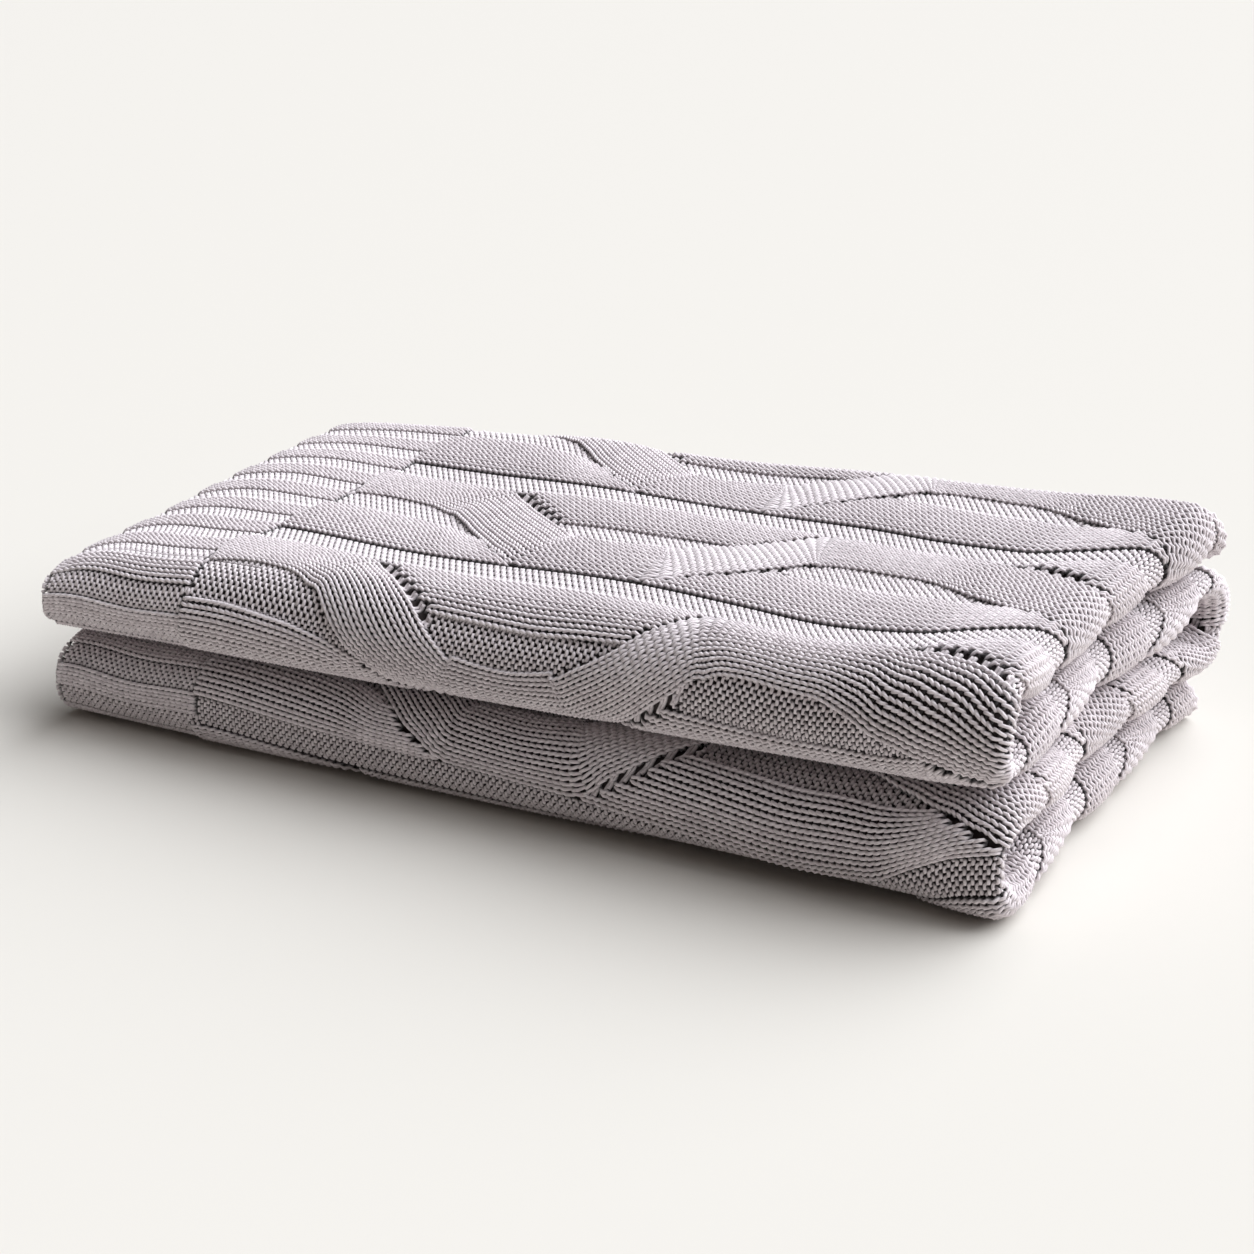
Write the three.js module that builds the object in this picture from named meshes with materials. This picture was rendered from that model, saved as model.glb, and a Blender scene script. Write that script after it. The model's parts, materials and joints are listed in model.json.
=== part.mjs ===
// Folded cable-knit throw blanket.
//
// One knitted rectangle is folded once across its length, which makes it double, and then pleated
// three times across its width like an accordion. It lies as a stack of four double panels:
// bottom and third panel joined at the front, third and second at the back, second and top at the
// front. Each panel is an upper and a lower ply of knit, each ply ends in a ribbed border at the
// left, and a rounded end fold joins the two plies at the right.
//
// Millimetres. +X runs along the ribs from the borders to the end folds, +Y to the back and +Z up.
// The origin is the middle of the footprint, on the surface that the stack rests on.

import * as THREE from 'three';

// Driving dimensions
const stackLength = 635;
const stackDepth = 341;
const borderEndHeight = 107;
const foldedEndHeight = 147;
const borderLength = 105;
const endFoldLength = 17;
const lowerPanelInset = 8;
const endStagger = 2;
const clearance = 0.4;
const arcSteps = 6;
const endFoldSteps = 5;
const endFoldTip = 0.3;

const knitColour = 0xcbc3ca;
const borderColour = 0xc2bac2;
const knitRoughness = 0.95;

// Panels from the bottom up, each with the side that its upper and lower folds lie on
const panels = [
  { name: 'bottom_panel', foldAbove: 'front', foldBelow: null },
  { name: 'third_panel', foldAbove: 'back', foldBelow: 'front' },
  { name: 'second_panel', foldAbove: 'front', foldBelow: 'back' },
  { name: 'top_panel', foldAbove: null, foldBelow: 'front' },
];

// Derived dimensions, at the folded end where the stack is highest
const pitch = (foldedEndHeight + clearance) / panels.length;
const panelHeight = pitch - clearance;
const plyHeight = (panelHeight - clearance) / 2;
const selvageRounding = plyHeight / 2;

// Share of the full height that the stack has at a place along its length
function heightShare(x) {
  const along = x / stackLength + 0.5;
  return THREE.MathUtils.lerp(borderEndHeight / foldedEndHeight, 1, along);
}

// Points of a circular arc in the YZ plane, both ends included
function arc(centreY, centreZ, radius, fromAngle, toAngle) {
  const points = [];
  for (let step = 0; step <= arcSteps; step += 1) {
    const angle = THREE.MathUtils.lerp(fromAngle, toAngle, step / arcSteps);
    points.push([centreY + radius * Math.cos(angle), centreZ + radius * Math.sin(angle)]);
  }
  return points;
}

// The end of a ply that lies at the bottom of its panel, drawn for a front end at y = 0 with the
// panel reaching towards +Y, from the ply's underside round to its top side
function lowerPlyEnd(kind) {
  const down = 1.5 * Math.PI;
  if (kind === 'outer') {
    const outside = arc(panelHeight, panelHeight, panelHeight, down, Math.PI);
    const inside = arc(panelHeight, panelHeight, panelHeight - plyHeight, Math.PI, down);
    return [...outside, ...inside];
  }
  if (kind === 'inner') {
    return arc(panelHeight, 0, plyHeight, Math.PI, Math.PI / 2);
  }
  const round = selvageRounding;
  return [...arc(round, round, round, down, Math.PI), [0, plyHeight]];
}

// What happens to a ply at one end: it runs round the outside of the fold there, it tucks into
// the fold as the inner layer, or it stops at a selvage
function endKind(panel, ply, side) {
  if (panel.foldAbove === side) {
    return ply === 'lower' ? 'outer' : 'inner';
  }
  if (panel.foldBelow === side) {
    return ply === 'lower' ? 'inner' : 'outer';
  }
  return 'selvage';
}

// Closed YZ outline of one ply, with z measured from the underside of its panel
function plyOutline(panel, ply) {
  const front = lowerPlyEnd(endKind(panel, ply, 'front'));
  const back = lowerPlyEnd(endKind(panel, ply, 'back'));
  const frontPoints = front.map(([y, z]) => [y - stackDepth / 2, z]);
  const backPoints = back.map(([y, z]) => [stackDepth / 2 - y, z]).reverse();
  const outline = [...frontPoints, ...backPoints];
  if (ply === 'lower') {
    return outline;
  }
  return outline.map(([y, z]) => [y, panelHeight - z]);
}

// Closed YZ outline of a whole panel, for the end fold that closes it
function panelOutline(panel) {
  const quarter = (side) => {
    const foldHere = panel.foldAbove === side || panel.foldBelow === side;
    const radius = foldHere ? panelHeight : selvageRounding;
    const flatSideUp = panel.foldAbove === side || !foldHere;
    const round = arc(radius, radius, radius, 1.5 * Math.PI, Math.PI);
    const points = foldHere ? round : [...round, [0, panelHeight]];
    return flatSideUp ? points : points.map(([y, z]) => [y, panelHeight - z]).reverse();
  };
  const frontPoints = quarter('front').map(([y, z]) => [y - stackDepth / 2, z]);
  const backPoints = quarter('back').map(([y, z]) => [stackDepth / 2 - y, z]).reverse();
  return [...frontPoints, ...backPoints];
}

// Extrudes a YZ outline along +X and lowers it towards the border end with the rest of the stack.
// shape moves a point of the outline by how far along the piece it lies, from 0 to 1.
function lengthwisePiece(name, outline, level, fromX, toX, colour, steps = 1, shape = null) {
  const section = new THREE.Shape(outline.map(([y, z]) => new THREE.Vector2(y, z)));
  const length = toX - fromX;
  const geometry = new THREE.ExtrudeGeometry(section, { depth: length, steps, bevelEnabled: false });
  const corners = geometry.attributes.position;
  for (let index = 0; index < corners.count; index += 1) {
    const along = corners.getZ(index) / length;
    let y = corners.getX(index);
    let z = corners.getY(index);
    if (shape) {
      [y, z] = shape(y, z, along);
    }
    const x = fromX + corners.getZ(index);
    corners.setXYZ(index, x, y, (z + level * pitch) * heightShare(x));
  }
  geometry.computeVertexNormals();
  const material = new THREE.MeshStandardMaterial({
    color: colour,
    roughness: knitRoughness,
    metalness: 0,
  });
  const mesh = new THREE.Mesh(geometry, material);
  mesh.name = name;
  return mesh;
}

// Narrows a panel's outline towards its middle along a quarter ellipse, down to a thin tip
function roundOff(y, z, along) {
  const share = Math.sqrt(Math.max(1 - along * along, endFoldTip * endFoldTip));
  const middle = panelHeight / 2;
  const inset = (1 - share) * endFoldLength / 2;
  return [y - Math.sign(y) * inset, middle + (z - middle) * share];
}

// The five pieces of one double panel
function doublePanel(panel, level) {
  const inset = level < panels.length / 2 ? lowerPanelInset : 0;
  const borderEnd = -stackLength / 2 + inset;
  const foldEnd = stackLength / 2 - level * endStagger;
  const borderInner = borderEnd + borderLength;
  const foldStart = foldEnd - endFoldLength;
  const pieces = [];
  for (const ply of ['upper', 'lower']) {
    const outline = plyOutline(panel, ply);
    pieces.push(
      lengthwisePiece(`${panel.name}_${ply}_rib_border`, outline, level, borderEnd, borderInner, borderColour),
      lengthwisePiece(`${panel.name}_${ply}_ply`, outline, level, borderInner + clearance, foldStart, knitColour),
    );
  }
  pieces.push(
    lengthwisePiece(`${panel.name}_end_fold`, panelOutline(panel), level, foldStart + clearance, foldEnd,
      knitColour, endFoldSteps, roundOff),
  );
  return pieces;
}

const blanket = new THREE.Group();
panels.forEach((panel, level) => {
  blanket.add(...doublePanel(panel, level));
});

export default blanket;
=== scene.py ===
"""The folded cable-knit throw, knitted loop by loop round the frame that CAD made.

The throw is one knitted rectangle. A point of it has two coordinates in metres: across, counted
over the wales from the top panel's selvage to the bottom panel's, and along, counted over the
courses from one ribbed border to the other. place() folds that rectangle into the stack: the
first half of along is the outer ply at the front folds, the second half the other ply, and the
end fold lies between them.
"""
import json
import math

import bpy
import numpy as np
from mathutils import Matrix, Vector


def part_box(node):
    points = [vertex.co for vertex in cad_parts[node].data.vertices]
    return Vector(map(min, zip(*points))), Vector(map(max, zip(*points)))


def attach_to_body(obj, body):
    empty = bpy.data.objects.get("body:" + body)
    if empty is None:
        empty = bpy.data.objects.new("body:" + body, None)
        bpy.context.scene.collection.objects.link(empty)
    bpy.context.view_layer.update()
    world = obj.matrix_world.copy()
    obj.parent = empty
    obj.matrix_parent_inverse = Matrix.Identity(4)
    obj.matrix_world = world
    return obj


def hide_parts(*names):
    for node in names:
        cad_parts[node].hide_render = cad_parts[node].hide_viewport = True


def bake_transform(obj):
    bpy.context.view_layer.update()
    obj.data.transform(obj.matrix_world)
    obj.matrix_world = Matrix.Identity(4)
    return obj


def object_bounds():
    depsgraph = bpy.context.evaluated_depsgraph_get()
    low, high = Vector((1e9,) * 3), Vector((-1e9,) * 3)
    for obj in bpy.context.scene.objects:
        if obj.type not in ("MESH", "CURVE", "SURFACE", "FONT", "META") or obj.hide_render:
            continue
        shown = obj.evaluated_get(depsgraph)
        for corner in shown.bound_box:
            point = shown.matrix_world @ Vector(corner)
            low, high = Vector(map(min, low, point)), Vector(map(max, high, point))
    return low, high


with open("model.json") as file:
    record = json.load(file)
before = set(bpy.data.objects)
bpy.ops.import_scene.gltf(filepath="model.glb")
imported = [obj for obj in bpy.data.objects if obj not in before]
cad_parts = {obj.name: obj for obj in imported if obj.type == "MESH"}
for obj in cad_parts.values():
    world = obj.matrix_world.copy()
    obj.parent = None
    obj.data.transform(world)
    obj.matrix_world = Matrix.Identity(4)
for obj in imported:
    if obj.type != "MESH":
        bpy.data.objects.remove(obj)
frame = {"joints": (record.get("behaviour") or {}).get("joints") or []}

CAD_LOW, CAD_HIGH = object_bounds()

# -------------------- sizes from the frame, metres
JOINTS = {joint["name"]: joint for joint in frame["joints"]}
PANELS = ("top_panel", "second_panel", "third_panel", "bottom_panel")
PARTS = ("upper_ply", "lower_ply", "upper_rib_border", "lower_rib_border", "end_fold")
FOLDS = (
    ("upper_front_fold", "top_panel", "second_panel"),
    ("back_fold", "second_panel", "third_panel"),
    ("lower_front_fold", "third_panel", "bottom_panel"),
)
FRONT, BACK = CAD_LOW.y, CAD_HIGH.y
BORDER_X, END_X = CAD_LOW.x, CAD_HIGH.x
TOP_HINGE_Z = JOINTS["upper_front_fold"]["pos_m"][2]
TOP_HINGE_AXIS = JOINTS["upper_front_fold"]["axis"]
TOP_HINGE_SLOPE = TOP_HINGE_AXIS[2] / TOP_HINGE_AXIS[0]
PANELS_BELOW_TOP = len(PANELS) - 1
PITCH = (TOP_HINGE_Z + TOP_HINGE_SLOPE * END_X) / PANELS_BELOW_TOP
BORDER_SHARE = (TOP_HINGE_Z + TOP_HINGE_SLOPE * BORDER_X) / (PITCH * PANELS_BELOW_TOP)
LOWER_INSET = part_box("bottom_panel_upper_rib_border")[0].x - BORDER_X
END_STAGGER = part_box("bottom_panel_end_fold")[1].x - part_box("third_panel_end_fold")[1].x
BORDER_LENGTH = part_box("top_panel_upper_ply")[0].x - BORDER_X

# -------------------- the knit, metres
KNIT_HALF = 0.0055           # from the middle of the knit to its outer face
PATH_STEP = 0.001
NOSE_STEPS = 60
SMOOTHING_STEPS = 15         # a window over the path, so that its corners are rounded
TUCK = ((0.095, KNIT_HALF), (0.072, 0.007), (0.050, 0.0135), (0.032, 0.0190),
        (0.017, 0.0175), (0.0080, 0.0100), (0.0055, 0.0))
BULGE_SHARE = 1.15           # depth of the end fold against half the gap between its plies
BULGE_MIN, BULGE_MAX = 0.005, 0.017
NOSE_SQUARENESS = 2.35       # exponent of the rounded section of a fold; 2 is a half circle
FLOOR_SQUARENESS = 3.4       # the same where the lowest fold rests on its underside
FRONT_FULLNESS = 0.006       # how far the soft folds swell past the frame's box
BACK_FULLNESS = 0.014
END_FULLNESS = 0.015
BORDER_FULLNESS = 0.010
BORDER_INSET = 0.015         # how far the free edge lies in from the front folds' corners
FLOOR_CLEARANCE = 0.0002     # nothing lies lower than this
BORDER_DROP = 0.009          # how far the top sinks towards the open end
BORDER_DROP_REACH = 0.022
INSET_START, INSET_REACH = 0.03, 0.11      # where BORDER_INSET comes in, from the front folds
INSET_LEVEL, INSET_RAMP = 2.0, 0.6         # LOWER_INSET comes in below this level of the stack
END_CLEARANCE = 0.001        # between the frame's end and the end fold before it swells
SWELL_START, SWELL_REACH = -0.02, 0.17     # the end fold swells towards the back,
SWELL_LEVEL, SWELL_RAMP = 0.35, 0.8        # and from the lowest fold upwards
CREST_LEVELS = (2.5, 1.5, 0.5)             # of the three folds, the bottom panel being 0
BORDER_WAVES = ((0.0018, 0.043, 0.0), (0.0012, 0.017, 1.0))   # height, length and start of each
CREST_WAVES = ((0.0016, 0.061, 2.0), (0.0010, 0.023, 0.0))
BROAD_HILLS, FINE_HILLS = 0.0022, 0.0014   # in the top
TOP_RISE, OPEN_END_RISE = 0.0015, 0.005    # how full the top is everywhere, and at the open end
TOP_LEVEL = 3.3              # the height, in panels, above which the hills come in
SELVAGE_FULLNESS = 0.001     # small, so that the selvages pass each other in the poses
SELVAGE_STRIP = 0.024        # how far in from a free selvage the backing looks knitted
SELVAGE_REACH = 0.024
SELVAGE_DROOP = {("top", 1): 0.013, ("top", -1): 0.003, ("bottom", 1): 0.0, ("bottom", -1): 0.020}

PERIOD = 0.147               # one strip and one cable, across
REPEAT = 0.352               # two crossings of a cable, along
FIRST_STRIP = -0.060         # across, where the first period starts, just off the selvage
REPEAT_START = 0.275         # along, where the first crossing ends
STRIP = 0.0245
OVER_WALES = 8
UNDER_WALES = 7
GROUND_WALES = 24
RIB_WALES = 24
RIB_REPEAT = 6               # half of them knit and half of them purl
RIB_WANDER = 0.0035          # how far the ribs waver sideways at the throw's edge
SLANT_REACH = 0.006          # along, to each side, over which a strand's slant is measured
BODY_COURSE = 0.0046
BORDER_COURSES = 24

# Edges of the two strands of a cable, across from the start of the period, by the share of the
# repeat. The over strand crosses up from 0.31 to 0.50 and down from 0.82 to 1.
OVER_TOP = ((0.0, 0.081), (0.04, 0.092), (0.15, 0.096), (0.25, 0.089), (0.31, 0.078), (0.38, 0.060),
            (0.44, 0.039), (0.50, STRIP), (0.65, STRIP), (0.78, STRIP), (0.84, 0.036), (0.92, 0.058))
OVER_BOTTOM = ((0.0, 0.140), (0.05, 0.1465), (0.15, 0.1465), (0.27, 0.1465), (0.31, 0.134),
               (0.36, 0.119), (0.42, 0.100), (0.50, 0.074), (0.55, 0.066), (0.62, 0.063),
               (0.70, 0.065), (0.78, 0.077), (0.84, 0.095), (0.90, 0.115))
UNDER_AT_TOP = ((0.0, 0.073), (0.17, 0.073), (0.30, 0.068), (0.42, 0.064), (0.78, 0.068))
UNDER_AT_BOTTOM = ((0.0, 0.110), (0.29, 0.094), (0.50, 0.095), (0.62, 0.093), (0.72, 0.094),
                   (0.80, 0.099), (0.90, 0.112))
DRIFT = ((0.0, 0.0), (0.10, 0.002), (0.20, 0.011), (0.26, 0.014), (0.33, 0.018), (0.45, 0.030),
         (0.51, 0.038), (0.555, 0.034), (0.585, 0.019), (0.61, 0.007), (0.64, 0.001), (0.72, 0.0),
         (0.90, 0.010), (1.05, 0.012), (1.20, 0.004), (1.35, 0.0))
UNDER_TOP_PHASES = (0.78, 0.46)
UNDER_BOTTOM_PHASES = (0.29, 0.07)
FIRST_LENS_PHASES = (0.0, 0.42)
SECOND_LENS_PHASES = (0.48, 0.95)
HIDDEN_FULLNESS = 0.040      # knit eased in between the two front folds, in the hidden panels

YARN_RADIUS = 0.00120        # of a wale of the usual width; narrower wales hold thinner yarn
YARN_THINNEST = 0.0010
YARN_NECK = 0.4              # how much of a wale's narrowing its yarn takes part in
YARN_SHARE = 0.155           # radius against the width of the wale
RIB_YARN_RADIUS = 0.00110
LEG_SPREAD = 0.185           # how far the legs of a loop lean, against the width of the wale
LOOP_COURSES = 1.65          # height of a loop against the spacing of the courses
LOOP_DEPTH = 0.0019
LOOP_PLUMPNESS = 0.08        # how much the yarn's thickness varies round a loop
CROSSING_LIFT = 0.0009
CROSSING_RAMP = 0.09         # share of the repeat in which that lift comes and goes
CROSSINGS = ((0.27, 0.55), (0.77, 1.06), (-0.23, 0.06))   # the third is the second again
STRIP_GAP = 0.0005           # between the under strand and the next period's strip
STRAND_GAP = 0.0020          # between the over strand and the strand beside it
LADDER_SHARE = 0.75          # share of RUNG_REACH by which that gap widens along a row of holes
GROUND_TUCK = 0.0030         # how far the ground runs on under the strands
EMERGING_REACH = 0.009       # across, over which a wale comes out from under a crossing
EMERGING_NECK = 0.35         # how much narrower it is there
EMERGING_SINK = 0.0012       # and how much lower
CROWN_POWER = 2.5            # how flat the rounded back of a strand is
RIB_LIFT = 0.0007            # of the knit ribs, and as far down for the purl ones
RIB_RELIEF = -0.0012         # where the backing takes the ribs' loops to lie
EDGE_CLEARANCE = 0.003       # across, between a selvage and the nearest stitch
RUNGS = 7                    # long stitches bridging the holes along each crossing
RUNG_STEP = 0.0092
RUNG_REACH = 0.0085
RUNG_STRETCH = 1.3           # length of a long stitch against the width of the hole it bridges
RUNG_START = 0.003           # how far inside the over strand it starts
RUNG_LEAN = 0.004
RUNG_LEGS = (-0.0011, 0.0011)
RUNG_TOP = 0.0012            # lift where it leaves the over strand
RUNG_SAG = 0.0030
RUNG_RADIUS = 0.00125
RUNG_HEIGHT = 0.0010         # how far up the loops its painted shade is taken from
RUNG_EDGE_CLEARANCE = 0.008
RUNG_BORDER_CLEARANCE = 0.006
RUNG_SAMPLES = 8
RUNG_SIDES = 6
LADDERS = ((0.325, 1), (0.834, -1))   # share of the repeat where each starts, side of the strand
LADDER_LEAD, LADDER_TAIL = 0.02, 0.03      # shares of the repeat by which its holes run on
LADDER_RAMP = 0.01
BACKING_DEPTH = 0.0010       # from the middle of the loops down to the cloth behind them
# kinds of backing face: painted shade under the cables, painted shade under the ribs, and drawn knit
UNDER_CABLES, UNDER_RIBS, BARE = 0, 1, 2
BARE_LIFT = 0.0012
BARE_WALE = 0.007
BACKING_ROWS = 60
BACKING_COLUMN = 0.004
BACKING_HALF = 0.0008
BACKING_INNER = -0.0030      # its inner face lies at least this deep
BACKING_MARGIN = 0.001       # along, from the border's edge to the backing's
BACKING_FOLD_ROWS = 25
FOLD_REACH = 0.045           # across, on each side of a fold's crest, that the bent pieces cover
YARN_GRADES = (("fine", True, 10, 6), ("plain", False, 8, 4))   # name, seen closely, steps, sides
PAINTED_DEEP_SHADE = 0.12            # painted shade: how dark the yarn's colour is made down inside the knit, where the shade falls
MAX_PIECE_TRIANGLES = 180000
RIDGE_REACH = 0.062          # along, on each side of the end fold's crest, that can be seen
OPEN_END_REACH = 0.040       # along, in from each border's edge, that can be seen
FRONT_REACH = 0.090          # across, past a front fold's crest, that can be seen in the gap
BACK_REACH = 0.095           # across, on each side of the back fold's crest, that can be seen
SELVAGE_SEEN = 0.030         # across, in from a selvage of the second ply, that can be seen
UNDERSIDE_REACH = 0.050      # across, past the lowest front fold, where the loops are still fine

# -------------------- colours, light and camera
YARN_DARK, YARN_PALE = (0.68, 0.605, 0.625), (0.92, 0.84, 0.86)
# painted shade: near black behind the cable knit and dark grey behind the ribs, standing for the
# shade in the gaps between the loops
CABLE_GAP_SHADE_COLOUR = (0.055, 0.042, 0.042)
RIB_GAP_SHADE_COLOUR = (0.20, 0.175, 0.185)
BARE_KNIT_COLOUR = (0.80, 0.735, 0.755)
FLOOR_COLOUR = (0.700, 0.665, 0.614)
FLOOR_SIZE = 60
WORLD_COLOUR = (0.97, 0.90, 0.84)
WORLD_STRENGTH = 0.11
SUN_COLOUR = (0.92, 0.955, 1.0)
SUNS = (                     # name, azimuth, elevation, strength and angular size
    ("key", 144, 47, 4.95, 70),
    ("side", 90, 40, 0.75, 40),
)
CAMERA_LENS = 83             # on a 36 mm sensor
CAMERA_AZIMUTH, CAMERA_ELEVATION = 27.85, 21.9
CAMERA_DISTANCE = 1.815
CAMERA_TARGET = (0.0034, -0.0088, 0.0645)


# -------------------- small mathematics
def smoothstep(value):
    value = np.clip(value, 0, 1)
    return value * value * (3 - 2 * value)


def hermite(keys_x, keys_y, x):
    """A curve through the keys that never overshoots them."""
    gaps = np.diff(keys_x)
    slopes = np.diff(keys_y) / gaps
    product = slopes[:-1] * slopes[1:]
    total = slopes[:-1] + slopes[1:]
    inner = np.where(product > 0, 2 * product / np.where(product > 0, total, 1), 0)
    tangents = np.concatenate([[slopes[0]], inner, [slopes[-1]]])
    i = np.clip(np.searchsorted(keys_x, x, side="right") - 1, 0, len(gaps) - 1)
    t = (x - keys_x[i]) / gaps[i]
    h00 = (1 + 2 * t) * (1 - t) ** 2
    h10 = t * (1 - t) ** 2
    h01 = t * t * (3 - 2 * t)
    h11 = t * t * (t - 1)
    return (h00 * keys_y[i] + h10 * gaps[i] * tangents[i]
            + h01 * keys_y[i + 1] + h11 * gaps[i] * tangents[i + 1])


def periodic(keys):
    """A function of phase through the keys, the same again after each whole phase."""
    x = np.array([key[0] for key in keys])
    y = np.array([key[1] for key in keys])
    x = np.concatenate([x - 1, x, x + 1])
    y = np.tile(y, 3)
    return lambda phase: hermite(x, y, np.mod(phase, 1.0))


over_top = periodic(OVER_TOP)
over_bottom = periodic(OVER_BOTTOM)
under_at_top = periodic(UNDER_AT_TOP)
under_at_bottom = periodic(UNDER_AT_BOTTOM)


def within(phase, window):
    """Whether a phase lies in a window, which may run over the end of the repeat."""
    phase = np.mod(phase, 1.0)
    if window[0] <= window[1]:
        return (phase >= window[0]) & (phase < window[1])
    return (phase >= window[0]) | (phase < window[1])


# -------------------- the folded shape
def nose_path(centre_y, centre_z, fullness, start, end, underside=NOSE_SQUARENESS):
    """The outer ply round a fold: a rounded section a little squarer than a half circle."""
    angles = np.radians(np.linspace(start, end, NOSE_STEPS))
    width, height = PITCH - KNIT_HALF + fullness, PITCH - KNIT_HALF
    power = np.where(np.sin(angles) < 0, 2 / underside, 2 / NOSE_SQUARENESS)
    y = np.sign(np.cos(angles)) * np.abs(np.cos(angles)) ** power
    z = np.sign(np.sin(angles)) * np.abs(np.sin(angles)) ** power
    return np.stack([centre_y + width * y, centre_z + height * z], 1)


def tuck_path(extreme_y, level_z, inward):
    """The loop of the inner ply inside a fold, from above the interface to below it."""
    upper = np.array(TUCK)
    lower = upper[::-1][1:] * (1, -1)
    points = np.concatenate([upper, lower])
    return np.stack([extreme_y + inward * points[:, 0], level_z + points[:, 1]], 1)


def ply_parts(side):
    """The parts of one ply's path over the stack, selvage to selvage; every odd part is a fold."""
    top = 4 * PITCH
    selvage = BACK - KNIT_HALF + SELVAGE_FULLNESS
    if side == 1:
        return [
            np.array([[selvage, top - KNIT_HALF]]),
            nose_path(FRONT + PITCH, 3 * PITCH, FRONT_FULLNESS, 90, 270),
            np.empty((0, 2)),
            tuck_path(BACK, 2 * PITCH, -1),
            np.empty((0, 2)),
            nose_path(FRONT + PITCH, PITCH, FRONT_FULLNESS, 90, 270, FLOOR_SQUARENESS),
            np.array([[selvage, KNIT_HALF]]),
        ]
    return [
        np.array([[selvage, 3 * PITCH + KNIT_HALF]]),
        tuck_path(FRONT, 3 * PITCH, 1),
        np.empty((0, 2)),
        nose_path(BACK - PITCH, 2 * PITCH, BACK_FULLNESS, 90, -90),
        np.empty((0, 2)),
        tuck_path(FRONT, PITCH, 1),
        np.array([[selvage, PITCH - KNIT_HALF]]),
    ]


def path_lengths(points):
    steps = np.linalg.norm(np.diff(points, axis=0), axis=1)
    return np.concatenate([[0], np.cumsum(steps)])


def ply_path(side):
    """Even steps along one ply's path, and how far along it the three crests lie."""
    parts = ply_parts(side)
    points = np.concatenate(parts)
    lengths = path_lengths(points)
    crests, done = [], 0
    for index, part in enumerate(parts):
        if index % 2:
            crests.append((lengths[done] + lengths[done + len(part) - 1]) / 2)
        done += len(part)
    even = np.arange(0, lengths[-1], PATH_STEP)
    path = np.stack([np.interp(even, lengths, points[:, axis]) for axis in (0, 1)], 1)
    window = np.hanning(SMOOTHING_STEPS)
    window /= window.sum()
    reach = len(window) // 2
    for axis in (0, 1):
        padded = np.pad(path[:, axis], reach, mode="reflect", reflect_type="odd")
        path[:, axis] = np.convolve(padded, window, mode="valid")
    return path, even, [0.0] + crests + [lengths[-1]]


PATHS = {side: ply_path(side) for side in (1, -1)}
KNOTS = (np.array(PATHS[1][2]) + np.array(PATHS[-1][2])) / 2
KNOTS[2:] += HIDDEN_FULLNESS / 2
KNOTS[3:] += HIDDEN_FULLNESS / 2
ACROSS_END = KNOTS[-1]
CRESTS = KNOTS[1:-1]
ACROSS = np.arange(0, ACROSS_END, PATH_STEP)


def selvage_droop(side):
    near_top = np.clip(1 - ACROSS / SELVAGE_REACH, 0, 1) ** 2
    near_bottom = np.clip(1 - (ACROSS_END - ACROSS) / SELVAGE_REACH, 0, 1) ** 2
    return SELVAGE_DROOP["top", side] * near_top + SELVAGE_DROOP["bottom", side] * near_bottom


def ply_table(side):
    """Place and outward normal in the YZ plane of one ply at each step of ACROSS."""
    path, even, knots = PATHS[side]
    distance = np.interp(ACROSS, KNOTS, knots)
    y = np.interp(distance, even, path[:, 0])
    z = np.interp(distance, even, path[:, 1]) - selvage_droop(side)
    turn = np.stack([np.gradient(z), -np.gradient(y)], 1)
    normal = side * turn / np.linalg.norm(turn, axis=1)[:, None]
    return {"y": y, "z": z, "ny": normal[:, 0], "nz": normal[:, 1]}


PLIES = {side: ply_table(side) for side in (1, -1)}
MIDDLE_Y = (PLIES[1]["y"] + PLIES[-1]["y"]) / 2
MIDDLE_Z = (PLIES[1]["z"] + PLIES[-1]["z"]) / 2
HALF_GAP = np.hypot(PLIES[1]["y"] - PLIES[-1]["y"], PLIES[1]["z"] - PLIES[-1]["z"]) / 2
LEVEL = np.interp(ACROSS, CRESTS, CREST_LEVELS)
BULGE = np.clip(HALF_GAP * BULGE_SHARE, BULGE_MIN, BULGE_MAX)
BORDER_EDGE = (BORDER_X - BORDER_FULLNESS
               + LOWER_INSET * smoothstep((INSET_LEVEL - LEVEL) / INSET_RAMP + 0.5)
               + BORDER_INSET * smoothstep((MIDDLE_Y - FRONT - INSET_START) / INSET_REACH))
SWELL = (smoothstep((MIDDLE_Y - SWELL_START) / SWELL_REACH)
         * smoothstep((LEVEL - SWELL_LEVEL) / SWELL_RAMP))
CREST_EDGE = END_X - END_CLEARANCE - LEVEL * END_STAGGER + END_FULLNESS * SWELL
for edge, waves in ((BORDER_EDGE, BORDER_WAVES), (CREST_EDGE, CREST_WAVES)):
    for wave_height, wave_length, wave_start in waves:
        edge += wave_height * np.sin(ACROSS / wave_length + wave_start)
FLAT = CREST_EDGE - BULGE - BORDER_EDGE
QUARTER = math.pi / 2 * np.sqrt((HALF_GAP ** 2 + BULGE ** 2) / 2)
REACH = float(np.mean(FLAT + QUARTER))      # along, from the border's edge to the end fold's crest
ALONG_END = 2 * REACH


def height_share(x):
    return BORDER_SHARE + (1 - BORDER_SHARE) * (x - BORDER_X) / (END_X - BORDER_X)


def undulation(x, y, level):
    """Soft hills and hollows in the top, fading out towards the panels beneath."""
    hills = BROAD_HILLS * np.sin(x / 0.071 + 0.8) * np.cos(y / 0.055 + 0.4)
    hills += FINE_HILLS * np.sin(x / 0.037 + y / 0.049 + 2.1)
    full = TOP_RISE + OPEN_END_RISE * (1 - height_share(x)) / (1 - BORDER_SHARE)
    full = full - BORDER_DROP * np.exp((BORDER_X - x) / BORDER_DROP_REACH)
    return (hills + full) * smoothstep((level - TOP_LEVEL) / 0.6)


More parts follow.
